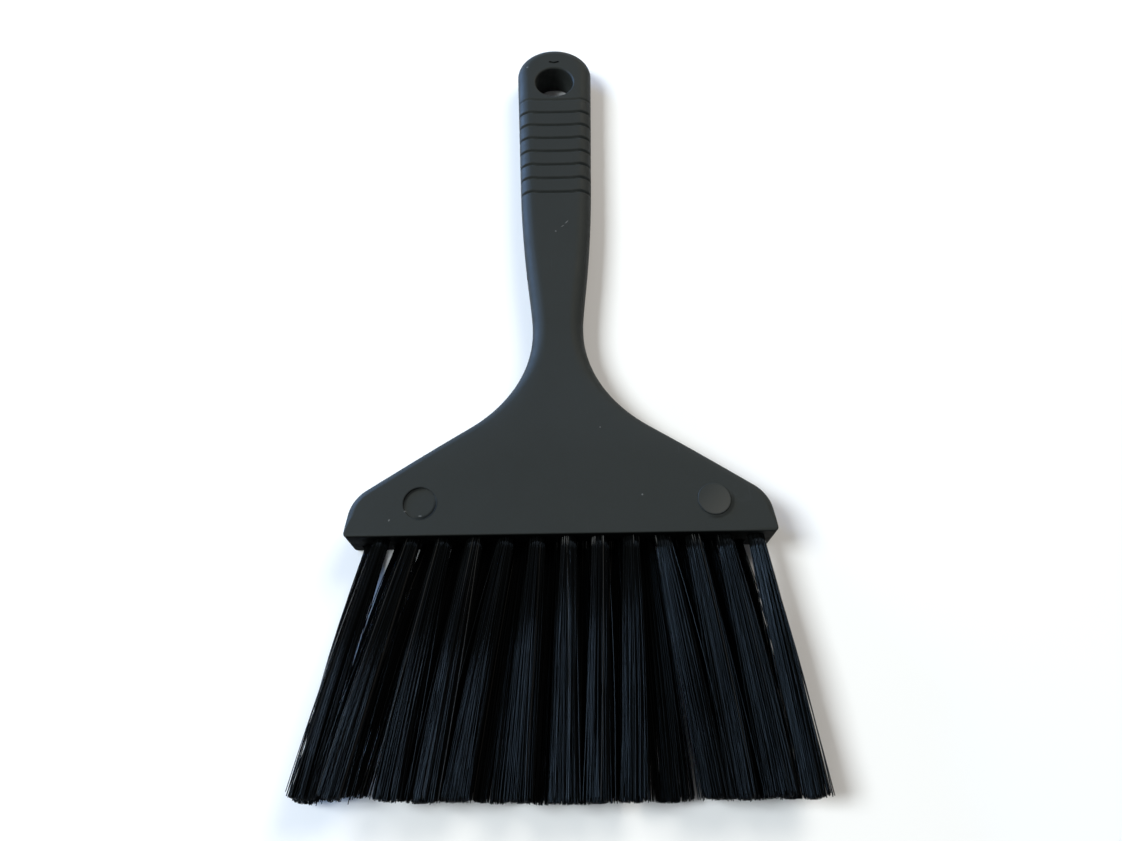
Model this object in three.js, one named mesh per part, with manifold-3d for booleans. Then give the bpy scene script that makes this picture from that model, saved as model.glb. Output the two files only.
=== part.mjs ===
// Boiler cleaning brush: a one-piece moulded grip, neck and head with two staggered rows of tufts.
// Each tuft is folded round a flat wire anchor at the bottom of its own blind hole in the head.
// Millimetres. The brush lies on its flat back, with X across the head, Y from the bristle tips
// towards the end of the grip, and Z up through the thickness to the front face.
import * as THREE from "three";
import { mergeVertices } from "three/addons/utils/BufferGeometryUtils.js";
import Module from "manifold-3d";

// Head
const HEAD_WIDTH = 141.7;
const HEAD_END_HEIGHT = 13.1;
const HEAD_END_DRAFT = 3.1;
const LOWER_EDGE_CHAMFER = 0.5;
const LOWER_CORNER_EASE = 0.9;
const CHAMFER_RUNOUT = 7;
const HEAD_EDGE_ROUND = 2.5;
const SHOULDER_SLOPE = 33.8;
const SHOULDER_RADIUS = 12.8;

// Neck and grip
const BODY_LENGTH = 222.5;
const NECK_WIDTH = 18.8;
const NECK_FILLET = 48.7;
const TAPER_INSET = 12;
const HANDLE_THICKNESS = 13;
const HANDLE_EDGE_ROUND = 4.5;
const GRIP_LENGTH = 75;
const GRIP_ROOT_WIDTH = 28.5;
const GRIP_END_WIDTH = 31.6;
const GRIP_END_RISE = 14.6;
const SWELL_START = 13;
const SWELL_END = 40;

// Finger grooves round the grip, counted from the hanging hole, the first one shallower
const GROOVE_COUNT = 8;
const GROOVE_SETBACK = 2;
const GROOVE_PITCH = 7;
const GROOVE_WIDTH = 1.8;
const GROOVE_FLOOR = 0.7;
const GROOVE_DEPTH = 0.7;
const END_GROOVE_DEPTH = 0.35;

// Hanging hole and the moulded dash beside it
const HANG_HOLE_DIAMETER = 16;
const HANG_HOLE_INSET = 21.1;
const HANG_HOLE_CHAMFER = 0.4;
const DASH_SETBACK = 3.4;
const DASH_LENGTH = 4.4;
const DASH_WIDTH = 1.1;
const DASH_DEPTH = 0.5;

// Round ejector marks near both ends of the head, one sunk and one proud
const MARK_DIAMETER = 10.9;
const SUNK_MARK_INSET = 24.5;
const PROUD_MARK_INSET = 20.1;
const MARK_HEIGHT = 11.2;
const MARK_SUNK = 0.4;
const MARK_PROUD = 0.4;
const MARK_EDGE = 0.25;

// Tuft holes, and the share of a pitch by which each row stands aside from the middle
const TUFT_PITCH = 10.2;
const ROW_STAGGER = 0.25;
const TUFT_HOLE_DIAMETER = 5.5;
const TUFT_HOLE_DEPTH = 12;
const DRILL_POINT = 1.4;

// Slices of the underside that carry the strands of a row, and the seats that they lie in
const SLICE_DEPTH = 1.6;
const SLICE_MARGIN = 0.05;
const SLICE_OVERHANG = 1;
const SEAT_WALL = 1.4;
const SEAT_RIB = 1;

// Wire anchors
const ANCHOR_BITE = 0.55;
const ANCHOR_WIDTH = 2;
const ANCHOR_GAUGE = 0.5;
const ANCHOR_POINT = 0.35;
const ANCHOR_SETBACK = 2.8;

// Bristles
const BRISTLE_LENGTH = 80;
const TIP_FLARE = 10.8;
const TUFT_TIP_GAP = 0.9;
const STRAND_ROOT_RADIUS = 0.42;
const STRAND_TIP_RADIUS = 0.3;
const STRAND_GAP = 0.06;
const STRAND_BEND = 1.6;
const STRAND_EMBED = 0.8;

// Fits and facets
const CLEARANCE = 0.3;
const CUT_THROUGH = 2;
const FACET_TURN = 10;
const FACET_RUN = 9;
const FACET_PROBES = 12;
const ROUND_STEPS = 3;
const HOLE_SIDES = 32;
const TUFT_SIDES = 10;
const STRAND_SIDES = 3;
const STRAND_STEPS = 2;
const LEAST_EDGE_FLAT = 1;
const LEAST_STATION_GAP = 0.3;

const wasm = await Module();
wasm.setup();

const radians = THREE.MathUtils.degToRad;

// A sunflower pattern turns by the golden angle at each step, and keeps its neighbours this far apart.
const GOLDEN_ANGLE = Math.PI * (3 - Math.sqrt(5));
const SUNFLOWER_SPACING = 1.7;

// The head is as thick as its two rows of tufts need: a seat for each, a rib between, walls outside.
const sliceHeight = TUFT_HOLE_DIAMETER - 2 * CLEARANCE + 2 * SLICE_MARGIN;
const seatHeight = sliceHeight + 2 * CLEARANCE;
const headThickness = 2 * (LOWER_EDGE_CHAMFER + SEAT_WALL + seatHeight) + SEAT_RIB;
const rowInset = LOWER_EDGE_CHAMFER + SEAT_WALL + seatHeight / 2;
const rowSpacing = headThickness - 2 * rowInset;

const bodyPlastic = new THREE.MeshStandardMaterial({ color: 0x34393a, roughness: 0.6, metalness: 0 });
const bristleFibre = new THREE.MeshStandardMaterial({ color: 0x0c0e16, roughness: 0.4, metalness: 0 });
const anchorWire = new THREE.MeshStandardMaterial({ color: 0xb4b7ba, roughness: 0.35, metalness: 1 });

// Solids

function solidOf(geometry) {
  const bare = geometry.clone();
  bare.deleteAttribute("normal");
  bare.deleteAttribute("uv");
  const merged = mergeVertices(bare);
  return new wasm.Manifold(
    new wasm.Mesh({
      numProp: 3,
      vertProperties: merged.getAttribute("position").array,
      triVerts: new Uint32Array(merged.index.array),
    }),
  );
}

function geometryOf(solid) {
  const mesh = solid.getMesh();
  const geometry = new THREE.BufferGeometry();
  geometry.setAttribute("position", new THREE.BufferAttribute(mesh.vertProperties, 3));
  geometry.setIndex(new THREE.BufferAttribute(mesh.triVerts, 1));
  geometry.computeVertexNormals();
  return geometry;
}

function boxSolid(width, depth, height, centre) {
  const box = new THREE.BoxGeometry(width, depth, height);
  return solidOf(box.translate(centre.x, centre.y, centre.z));
}

// A turned shape whose axis runs along +Y, from [radius, height] pairs that start and end on the axis.
function turned(profile, sides) {
  const points = profile.map(([radius, height]) => new THREE.Vector2(radius, height));
  return new THREE.LatheGeometry(points, sides);
}

// Outline of the body, right half, from the middle of the lower edge up to the end of the grip

// Runs straight to a corner, rounds it, and leaves it towards the next point.
function roundCorner(path, corner, next, radius) {
  const incoming = corner.clone().sub(path.currentPoint).normalize();
  const outgoing = next.clone().sub(corner).normalize();
  const turn = Math.acos(incoming.dot(outgoing));
  const hand = Math.sign(incoming.cross(outgoing));
  const start = corner.clone().addScaledVector(incoming, -radius * Math.tan(turn / 2));
  const inward = new THREE.Vector2(-incoming.y, incoming.x).multiplyScalar(hand * radius);
  const centre = start.clone().add(inward);
  const startAngle = Math.atan2(-inward.y, -inward.x);
  path.lineTo(start.x, start.y);
  path.absarc(centre.x, centre.y, radius, startAngle, startAngle + hand * turn, hand < 0);
}

const lowerCornerRadius = LOWER_EDGE_CHAMFER + LOWER_CORNER_EASE;

function outlinePath() {
  const draftInset = HEAD_END_HEIGHT * Math.tan(radians(HEAD_END_DRAFT));
  const lowerCorner = new THREE.Vector2(HEAD_WIDTH / 2, 0);
  const shoulderCorner = new THREE.Vector2(HEAD_WIDTH / 2 - draftInset, HEAD_END_HEIGHT);
  const shoulderRise = (shoulderCorner.x - NECK_WIDTH / 2) * Math.tan(radians(SHOULDER_SLOPE));
  const neckCorner = new THREE.Vector2(NECK_WIDTH / 2, HEAD_END_HEIGHT + shoulderRise);
  const gripRoot = new THREE.Vector2(GRIP_ROOT_WIDTH / 2, BODY_LENGTH - GRIP_LENGTH);
  const gripEnd = new THREE.Vector2(GRIP_END_WIDTH / 2, BODY_LENGTH - GRIP_END_RISE);
  const gripDirection = gripEnd.clone().sub(gripRoot).normalize();
  const swellOut = gripRoot.clone().addScaledVector(gripDirection, -SWELL_END);

  const path = new THREE.Path();
  path.moveTo(0, 0);
  roundCorner(path, lowerCorner, shoulderCorner, lowerCornerRadius);
  roundCorner(path, shoulderCorner, neckCorner, SHOULDER_RADIUS);
  roundCorner(path, neckCorner, new THREE.Vector2(NECK_WIDTH / 2, BODY_LENGTH), NECK_FILLET);
  const neck = path.currentPoint.clone();
  path.bezierCurveTo(neck.x, neck.y + SWELL_START, swellOut.x, swellOut.y, gripRoot.x, gripRoot.y);
  path.lineTo(gripEnd.x, gripEnd.y);
  path.absellipse(0, gripEnd.y, gripEnd.x, GRIP_END_RISE, 0, Math.PI / 2, false);
  return { path, neckHeight: neck.y };
}

// How many straight facets a stretch of the outline needs for its bend and its length.
function facetCount(curve) {
  let turn = 0;
  for (let i = 0; i < FACET_PROBES; i++) {
    turn += curve.getTangent(i / FACET_PROBES).angleTo(curve.getTangent((i + 1) / FACET_PROBES));
  }
  return Math.max(1, Math.ceil(turn / radians(FACET_TURN)), Math.ceil(curve.getLength() / FACET_RUN));
}

function stationAt(curve, t) {
  const point = curve.getPoint(t);
  const tangent = curve.getTangent(t);
  return { x: point.x, y: point.y, nx: tangent.y, ny: -tangent.x };
}

function mixStations(a, b, y) {
  const t = (y - a.y) / (b.y - a.y);
  const mix = (key) => THREE.MathUtils.lerp(a[key], b[key], t);
  return { x: mix("x"), y, nx: mix("nx"), ny: mix("ny") };
}

const hangHoleHeight = BODY_LENGTH - HANG_HOLE_INSET;
const firstGroove = hangHoleHeight - HANG_HOLE_DIAMETER / 2 - GROOVE_SETBACK;
const grooves = Array.from({ length: GROOVE_COUNT }, (_, i) => ({
  height: firstGroove - i * GROOVE_PITCH,
  depth: i === 0 ? END_GROOVE_DEPTH : GROOVE_DEPTH,
}));

// Points on the outline with their outward directions, with extra ones at the lips of every groove.
function outlineStations(path, neckHeight) {
  const sides = path.curves.slice(1).filter((curve) => curve.getLength() > LEAST_STATION_GAP);
  const stations = [stationAt(sides[0], 0)];
  for (const curve of sides) {
    const count = facetCount(curve);
    for (let i = 1; i <= count; i++) {
      stations.push(stationAt(curve, i / count));
    }
  }
  const lips = grooves.flatMap(({ height }) => [
    height - GROOVE_WIDTH / 2,
    height - GROOVE_FLOOR / 2,
    height + GROOVE_FLOOR / 2,
    height + GROOVE_WIDTH / 2,
  ]);
  const added = lips.map((y) => {
    const above = stations.findIndex((station) => station.y > y && station.y > neckHeight);
    return mixStations(stations[above - 1], stations[above], y);
  });
  const kept = stations.filter(
    (station) => station.y < neckHeight || lips.every((y) => Math.abs(y - station.y) > LEAST_STATION_GAP),
  );
  const lower = kept.filter((station) => station.y < neckHeight);
  const upper = kept.filter((station) => station.y >= neckHeight).concat(added);
  upper.sort((a, b) => a.y - b.y);
  const apex = { x: 0, y: BODY_LENGTH, nx: 0, ny: 1 };
  return { sides: [...lower, ...upper.slice(0, -1)], apex };
}

// Thickness, edge rounding and groove depth along the body

const outline = outlinePath();
const taperStart = HEAD_END_HEIGHT + TAPER_INSET;

function taper(y) {
  return THREE.MathUtils.smoothstep(y, taperStart, outline.neckHeight);
}

function thicknessAt(y) {
  return THREE.MathUtils.lerp(headThickness, HANDLE_THICKNESS, taper(y));
}

// 0 on the chamfered lower edge of the head, 1 where the edges are round.
function roundness(y) {
  return THREE.MathUtils.smoothstep(y, lowerCornerRadius, lowerCornerRadius + CHAMFER_RUNOUT);
}

function edgeSizeAt(y) {
  const head = THREE.MathUtils.lerp(LOWER_EDGE_CHAMFER, HEAD_EDGE_ROUND, roundness(y));
  const size = THREE.MathUtils.lerp(head, HANDLE_EDGE_ROUND, taper(y));
  return Math.min(size, thicknessAt(y) / 2 - GROOVE_DEPTH - LEAST_EDGE_FLAT);
}

function grooveDepthAt(y) {
  const slope = (GROOVE_WIDTH - GROOVE_FLOOR) / 2;
  const cuts = grooves.map(({ height, depth }) => {
    const share = (GROOVE_WIDTH / 2 - Math.abs(y - height)) / slope;
    return depth * THREE.MathUtils.clamp(share, 0, 1);
  });
  return Math.max(...cuts);
}

// Body

// A point of the skin beside a station, a share of the way over the back or the front edge.
function skinPoint(station, mirror, share, isFront) {
  const angle = (share * Math.PI) / 2;
  const size = edgeSizeAt(station.y);
  const round = roundness(station.y);
  const groove = grooveDepthAt(station.y);
  const inset = groove + size * THREE.MathUtils.lerp(share, 1 - Math.cos(angle), round);
  const fromFace = groove + size * THREE.MathUtils.lerp(1 - share, 1 - Math.sin(angle), round);
  const z = isFront ? thicknessAt(station.y) - fromFace : fromFace;
  return [mirror * (station.x - station.nx * inset), station.y - station.ny * inset, z];
}

function ringLevels() {
  const shares = Array.from({ length: ROUND_STEPS + 1 }, (_, i) => i / ROUND_STEPS);
  const back = shares.toReversed().map((share) => ({ share, isFront: false }));
  const front = shares.map((share) => ({ share, isFront: true }));
  return [...back, ...front];
}

// The moulded skin: the outline drawn in round both edges, ring by ring, and closed by two flat faces.
function bodySkin() {
  const { sides, apex } = outlineStations(outline.path, outline.neckHeight);
  const levels = ringLevels();
  const ringSize = 2 * sides.length + 1;
  const vertices = [];
  for (const { share, isFront } of levels) {
    sides.forEach((station) => vertices.push(...skinPoint(station, 1, share, isFront)));
    vertices.push(...skinPoint(apex, 1, share, isFront));
    sides.toReversed().forEach((station) => vertices.push(...skinPoint(station, -1, share, isFront)));
  }

  const faces = [];
  const quad = (a, b, c, d) => faces.push(a, b, c, a, c, d);
  for (let ring = 0; ring < levels.length - 1; ring++) {
    const below = ring * ringSize;
    const above = below + ringSize;
    for (let i = 0; i < ringSize; i++) {
      const next = (i + 1) % ringSize;
      quad(below + i, below + next, above + next, above + i);
    }
  }
  const backRing = 0;
  const frontRing = (levels.length - 1) * ringSize;
  for (let i = 0; i < sides.length - 1; i++) {
    const left = ringSize - 1 - i;
    quad(frontRing + i, frontRing + i + 1, frontRing + left - 1, frontRing + left);
    quad(backRing + left, backRing + left - 1, backRing + i + 1, backRing + i);
  }
  const last = sides.length - 1;
  faces.push(frontRing + last, frontRing + last + 1, frontRing + last + 2);
  faces.push(backRing + last + 2, backRing + last + 1, backRing + last);

  const skin = new THREE.BufferGeometry();
  skin.setAttribute("position", new THREE.Float32BufferAttribute(vertices, 3));
  skin.setIndex(faces);
  return solidOf(skin);
}

function hangHoleCutter() {
  const radius = HANG_HOLE_DIAMETER / 2;
  const top = HANDLE_THICKNESS + CUT_THROUGH;
  const flared = radius + HANG_HOLE_CHAMFER + CUT_THROUGH;
  const cutter = turned(
    [
      [0, -CUT_THROUGH],
      [flared, -CUT_THROUGH],
      [radius, HANG_HOLE_CHAMFER],
      [radius, HANDLE_THICKNESS - HANG_HOLE_CHAMFER],
      [flared, top],
      [0, top],
    ],
    HOLE_SIDES,
  );
  cutter.rotateX(Math.PI / 2);
  return solidOf(cutter.translate(0, hangHoleHeight, 0));
}

// A short dash with round ends, sunk into the front face beyond the hanging hole.
function dashCutter() {
  const half = (DASH_LENGTH - DASH_WIDTH) / 2;
  const dash = new THREE.Shape();
  dash.absarc(half, 0, DASH_WIDTH / 2, -Math.PI / 2, Math.PI / 2, false);
  dash.absarc(-half, 0, DASH_WIDTH / 2, Math.PI / 2, (3 * Math.PI) / 2, false);
  const cutter = new THREE.ExtrudeGeometry(dash, {
    depth: DASH_DEPTH + CUT_THROUGH,
    bevelEnabled: false,
    curveSegments: 2 * ROUND_STEPS,
  });
  const height = hangHoleHeight + HANG_HOLE_DIAMETER / 2 + DASH_SETBACK;
  return solidOf(cutter.translate(0, height, HANDLE_THICKNESS - DASH_DEPTH));
}

// A round mark on the front face, from its lowest to its highest level.
function markDisc(x, low, high, topRadius) {
  const radius = MARK_DIAMETER / 2;
  const disc = turned(
    [
      [0, low],
      [radius, low],
      [radius, high - MARK_EDGE],
      [topRadius, high],
      [0, high],
    ],
    HOLE_SIDES,
  );
  disc.rotateX(Math.PI / 2);
  return solidOf(disc.translate(x, MARK_HEIGHT, 0));
}

// Tufts: where each one stands, and how the rows fan out towards the tips

const sliceRun = TUFT_HOLE_DIAMETER / 2 + SLICE_OVERHANG;
const tuftSpan = HEAD_WIDTH - 2 * (lowerCornerRadius + SEAT_WALL + CLEARANCE + sliceRun);
const tuftCount = Math.floor(tuftSpan / TUFT_PITCH - 2 * ROW_STAGGER) + 1;
const rootPitch = tuftSpan / (tuftCount - 1 + 2 * ROW_STAGGER);
const tipPitch = (HEAD_WIDTH + 2 * TIP_FLARE + TUFT_TIP_GAP) / (tuftCount + 2 * ROW_STAGGER);

// Both rows have the same count: the front one stands to the right of the middle, the back one to the left.
function rowOfTufts(hand, z) {
  return Array.from({ length: tuftCount }, (_, i) => {
    const place = i - (tuftCount - 1) / 2 + hand * ROW_STAGGER;
    const root = place * rootPitch;
    const tip = place * tipPitch;
    return { root, tip, z, hand, lean: Math.atan2(tip - root, BRISTLE_LENGTH) };
  });
}

const rows = {
  front: rowOfTufts(1, headThickness - rowInset),
  back: rowOfTufts(-1, rowInset),
};

// Turns a shape made along +Y at the origin into the line of a tuft hole.
function tuftMatrix(tuft) {
  const matrix = new THREE.Matrix4().makeRotationZ(tuft.lean);
  return matrix.setPosition(tuft.root, 0, tuft.z);
}

function tuftHoleCutter(tuft) {
  const radius = TUFT_HOLE_DIAMETER / 2;
  const hole = turned(
    [
      [0, -CUT_THROUGH],
      [radius, -CUT_THROUGH],
      [radius, TUFT_HOLE_DEPTH],
      [0, TUFT_HOLE_DEPTH + DRILL_POINT],
    ],
    TUFT_SIDES,
  );
  return solidOf(hole.applyMatrix4(tuftMatrix(tuft)));
}

const anchorLength = TUFT_HOLE_DIAMETER + 2 * ANCHOR_BITE;
const anchorDepth = TUFT_HOLE_DEPTH - ANCHOR_SETBACK;

// Room for a wire anchor, which bites into the wall on both sides of its hole.
function anchorRoom(tuft) {
  const room = new THREE.BoxGeometry(
    anchorLength + 2 * CLEARANCE,
    ANCHOR_WIDTH + 2 * CLEARANCE,
    ANCHOR_GAUGE + 2 * CLEARANCE,
  );
  room.translate(0, anchorDepth, 0);
  return solidOf(room.applyMatrix4(tuftMatrix(tuft)));
}

function sliceSeat(row) {
  const start = row[0].root - sliceRun - CLEARANCE;
  const end = row.at(-1).root + sliceRun + CLEARANCE;
  const depth = SLICE_DEPTH + CLEARANCE + CUT_THROUGH;
  const centre = new THREE.Vector3((start + end) / 2, depth / 2 - CUT_THROUGH, row[0].z);
  return boxSolid(end - start, depth, seatHeight, centre);
}

function brushBody() {
  const radius = MARK_DIAMETER / 2;
  const sunkX = SUNK_MARK_INSET - HEAD_WIDTH / 2;
  const sunkMark = markDisc(sunkX, headThickness - MARK_SUNK, headThickness + CUT_THROUGH, radius);
  const proudX = HEAD_WIDTH / 2 - PROUD_MARK_INSET;
  const proudTop = headThickness + MARK_PROUD;
  const proudMark = markDisc(proudX, headThickness - CUT_THROUGH, proudTop, radius - MARK_EDGE);
  let body = bodySkin().add(proudMark).subtract(sunkMark);
  body = body.subtract(hangHoleCutter()).subtract(dashCutter());
  for (const row of Object.values(rows)) {
    body = body.subtract(sliceSeat(row));
    for (const tuft of row) {
      body = body.subtract(tuftHoleCutter(tuft)).subtract(anchorRoom(tuft));
    }
  }
  return geometryOf(body);
}

// Wire anchors

// A short length of flat wire, sheared to a blunt point at both ends.
function anchorGeometry() {
  const half = anchorLength / 2;
  const edge = ANCHOR_WIDTH / 2;
  const blank = new THREE.Shape();
  blank.moveTo(-half + ANCHOR_POINT, -edge);
  blank.lineTo(half - ANCHOR_POINT, -edge);
  blank.lineTo(half, 0);
  blank.lineTo(half - ANCHOR_POINT, edge);
  blank.lineTo(-half + ANCHOR_POINT, edge);
  blank.lineTo(-half, 0);
  const wire = new THREE.ExtrudeGeometry(blank, { depth: ANCHOR_GAUGE, bevelEnabled: false });
  return wire.translate(0, anchorDepth, -ANCHOR_GAUGE / 2);
}

// Bristles

const strandReach = TUFT_HOLE_DIAMETER / 2 - CLEARANCE - STRAND_ROOT_RADIUS;
const sunflowerScale = (2 * STRAND_ROOT_RADIUS + STRAND_GAP) / SUNFLOWER_SPACING;
const strandsPerTuft = Math.round((strandReach / sunflowerScale) ** 2);
const tipReachX = (tipPitch - TUFT_TIP_GAP) / 2 - STRAND_TIP_RADIUS;
const tipReachZ = (rowSpacing - TUFT_TIP_GAP) / 2 - STRAND_TIP_RADIUS;

// Middle of a strand, a share of the way from the head to its tip.
function strandPoint(tuft, seed, share) {
  const flare = Math.pow(Math.max(share, 0), STRAND_BEND);
  const out = seed.reach * THREE.MathUtils.lerp(strandReach, tipReachX, flare);
  const up = seed.reach * THREE.MathUtils.lerp(strandReach, tipReachZ, flare);
  return new THREE.Vector3(
    THREE.MathUtils.lerp(tuft.root, tuft.tip, share) + out * Math.cos(seed.angle),
    -share * BRISTLE_LENGTH,
    tuft.z + up * Math.sin(seed.angle),
  );
}

// One strand: a slim three-sided prism that spreads away from its tuft and thins to the tip.
function addStrand(tuft, seed, vertices, faces) {
  const base = vertices.length / 3;
  const shares = [-STRAND_EMBED / BRISTLE_LENGTH];
  for (let i = 1; i <= STRAND_STEPS; i++) {
    shares.push(i / STRAND_STEPS);
  }
  for (const share of shares) {
    const centre = strandPoint(tuft, seed, share);
    const radius = THREE.MathUtils.lerp(STRAND_ROOT_RADIUS, STRAND_TIP_RADIUS, share);
    for (let side = 0; side < STRAND_SIDES; side++) {
      const angle = seed.angle + (side / STRAND_SIDES) * 2 * Math.PI;
      vertices.push(centre.x + radius * Math.cos(angle), centre.y, centre.z + radius * Math.sin(angle));
    }
  }
  for (let ring = 0; ring < STRAND_STEPS; ring++) {
    for (let side = 0; side < STRAND_SIDES; side++) {
      const a = base + ring * STRAND_SIDES + side;
      const b = base + ring * STRAND_SIDES + ((side + 1) % STRAND_SIDES);
      faces.push(a, b, b + STRAND_SIDES, a, b + STRAND_SIDES, a + STRAND_SIDES);
    }
  }
  const tip = base + STRAND_STEPS * STRAND_SIDES;
  for (let side = 1; side < STRAND_SIDES - 1; side++) {
    faces.push(base, base + side + 1, base + side);
    faces.push(tip, tip + side, tip + side + 1);
  }
}

// Strands stand in a sunflower pattern, so that they keep even gaps and never cross.
// The back row's pattern is the front row's, turned half round the brush's length.
function strandsOf(tufts) {
  const vertices = [];
  const faces = [];
  for (const tuft of tufts) {
    for (let i = 0; i < strandsPerTuft; i++) {
      const reach = Math.sqrt((2 * i + 1) / (2 * strandsPerTuft - 1));
      const turn = i * GOLDEN_ANGLE;
      addStrand(tuft, { reach, angle: tuft.hand < 0 ? turn + Math.PI : turn }, vertices, faces);
    }
  }
  const strands = new THREE.BufferGeometry();
  strands.setAttribute("position", new THREE.Float32BufferAttribute(vertices, 3));
  strands.setIndex(faces);
  return solidOf(strands);
}

// The folded end of a tuft inside its hole, with a window where the wire anchor passes through.
function tuftRoot(tuft) {
  const radius = TUFT_HOLE_DIAMETER / 2 - CLEARANCE;
  const top = TUFT_HOLE_DEPTH - CLEARANCE;
  const fold = turned(
    [
      [0, SLICE_DEPTH / 2],
      [radius, SLICE_DEPTH / 2],
      [radius, top - radius / 2],
      [0, top],
    ],
    TUFT_SIDES,
  );
  return solidOf(fold.applyMatrix4(tuftMatrix(tuft))).subtract(anchorRoom(tuft));
}

// The tufts from one place in a row to another, on the slice of the head that they grow from.
function bristleBank(tufts, startX, endX) {
  const centre = new THREE.Vector3((startX + endX) / 2, SLICE_DEPTH / 2, tufts[0].z);
  let bank = boxSolid(endX - startX, SLICE_DEPTH, sliceHeight, centre);
  for (const tuft of tufts) {
    bank = bank.add(tuftRoot(tuft));
  }
  return geometryOf(bank.add(strandsOf(tufts)));
}

// Assembly

function namedMesh(name, geometry, material) {
  const mesh = new THREE.Mesh(geometry, material);
  mesh.name = name;
  return mesh;
}

const brush = new THREE.Group();
brush.name = "boiler_cleaning_brush";
brush.position.y = (BRISTLE_LENGTH - BODY_LENGTH) / 2;
brush.add(namedMesh("brush_body", brushBody(), bodyPlastic));

for (const [rowName, row] of Object.entries(rows)) {
  const half = Math.ceil(row.length / 2);
  const split = (row[half - 1].root + row[half].root) / 2;
  const leftTufts = row.slice(0, half);
  const rightTufts = row.slice(half);
  const left = bristleBank(leftTufts, row[0].root - sliceRun, split - CLEARANCE / 2);
  const right = bristleBank(rightTufts, split + CLEARANCE / 2, row.at(-1).root + sliceRun);
  brush.add(namedMesh(`${rowName}_bristles_left`, left, bristleFibre));
  brush.add(namedMesh(`${rowName}_bristles_right`, right, bristleFibre));
  row.forEach((tuft, i) => {
    const name = `${rowName}_anchor_${String(i + 1).padStart(2, "0")}`;
    const anchor = namedMesh(name, anchorGeometry(), anchorWire);
    anchor.position.set(tuft.root, 0, tuft.z);
    anchor.rotation.z = tuft.lean;
    brush.add(anchor);
  });
}

export default brush;
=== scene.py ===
"""Boiler cleaning brush: the looks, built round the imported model.

The moulded body is a fine skin of the solid's own sizes, the tufts are filaments grown by Geometry
Nodes out of the holes in the head, and the wire anchors keep their solids.
"""
import math

import bmesh
import bpy
from mathutils import Matrix, Vector
from mathutils.geometry import interpolate_bezier


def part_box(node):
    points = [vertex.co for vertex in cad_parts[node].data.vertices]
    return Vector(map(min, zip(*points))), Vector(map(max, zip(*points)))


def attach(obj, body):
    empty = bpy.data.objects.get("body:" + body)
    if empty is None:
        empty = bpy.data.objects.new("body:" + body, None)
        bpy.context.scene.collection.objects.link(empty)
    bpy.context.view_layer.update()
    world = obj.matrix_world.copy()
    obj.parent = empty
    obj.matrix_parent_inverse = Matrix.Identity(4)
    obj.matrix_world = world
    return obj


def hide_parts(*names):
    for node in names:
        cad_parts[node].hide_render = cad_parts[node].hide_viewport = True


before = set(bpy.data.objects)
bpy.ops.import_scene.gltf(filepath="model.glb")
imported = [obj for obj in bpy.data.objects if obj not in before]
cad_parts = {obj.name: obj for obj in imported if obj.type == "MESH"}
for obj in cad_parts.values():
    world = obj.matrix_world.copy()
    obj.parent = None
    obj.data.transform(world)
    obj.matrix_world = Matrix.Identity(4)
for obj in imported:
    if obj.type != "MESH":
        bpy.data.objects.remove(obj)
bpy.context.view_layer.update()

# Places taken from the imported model, in metres
BODY_LOW, BODY_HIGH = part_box("brush_body")
UNDERSIDE = BODY_LOW.y
BODY_LENGTH = BODY_HIGH.y - BODY_LOW.y
FRONT_LOW, FRONT_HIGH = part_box("front_bristles_left")
BACK_LOW, BACK_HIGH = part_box("back_bristles_left")
FRONT_ROW = (FRONT_LOW.z + FRONT_HIGH.z) / 2
BACK_ROW = (BACK_LOW.z + BACK_HIGH.z) / 2
BRISTLE_LENGTH = UNDERSIDE - FRONT_LOW.y

# Head
HEAD_WIDTH = 0.1417
HEAD_THICKNESS = 0.016
HEAD_END_HEIGHT = 0.0131
HEAD_END_DRAFT = math.radians(3.1)
LOWER_EDGE_ROUND = 0.0005
LOWER_CORNER_RADIUS = 0.0014
LOWER_EDGE_RUNOUT = 0.007
HEAD_EDGE_ROUND = 0.0025
SHOULDER_SLOPE = math.radians(33.8)
SHOULDER_RADIUS = 0.0128

# Neck and grip
NECK_WIDTH = 0.0188
NECK_FILLET = 0.0487
TAPER_INSET = 0.012
HANDLE_THICKNESS = 0.013
HANDLE_EDGE_ROUND = 0.0045
GRIP_LENGTH = 0.075
GRIP_ROOT_WIDTH = 0.0285
GRIP_END_WIDTH = 0.0316
GRIP_END_RISE = 0.0146
SWELL_START = 0.013
SWELL_END = 0.040
EDGE_CREASE = math.radians(20)
PARTING_DEPTH = 0.00006
PARTING_WIDTH = 0.0003

# Finger grooves, which keep only a share of their depth on the sides of the grip
GROOVE_COUNT = 8
GROOVE_SETBACK = 0.002
GROOVE_PITCH = 0.007
GROOVE_WIDTH = 0.0018
GROOVE_DEPTH = 0.0007
END_GROOVE_DEPTH = 0.00035
EDGE_GROOVE_SHARE = 0.2
GROOVE_SAG = 0.0004

# Hanging hole, dash and ejector marks
HANG_HOLE_RADIUS = 0.008
HANG_HOLE_INSET = 0.0211
HANG_HOLE_ROUND = 0.0008
DASH_SETBACK = 0.0034
DASH_LENGTH = 0.0044
DASH_WIDTH = 0.0011
DASH_SAG = 0.0005
DASH_DEPTH = 0.0006
MARK_RADIUS = 0.00545
SUNK_MARK_INSET = 0.0245
PROUD_MARK_INSET = 0.0201
MARK_HEIGHT = 0.0112
MARK_STEP = 0.0004
MARK_ROUND = 0.00015

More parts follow.
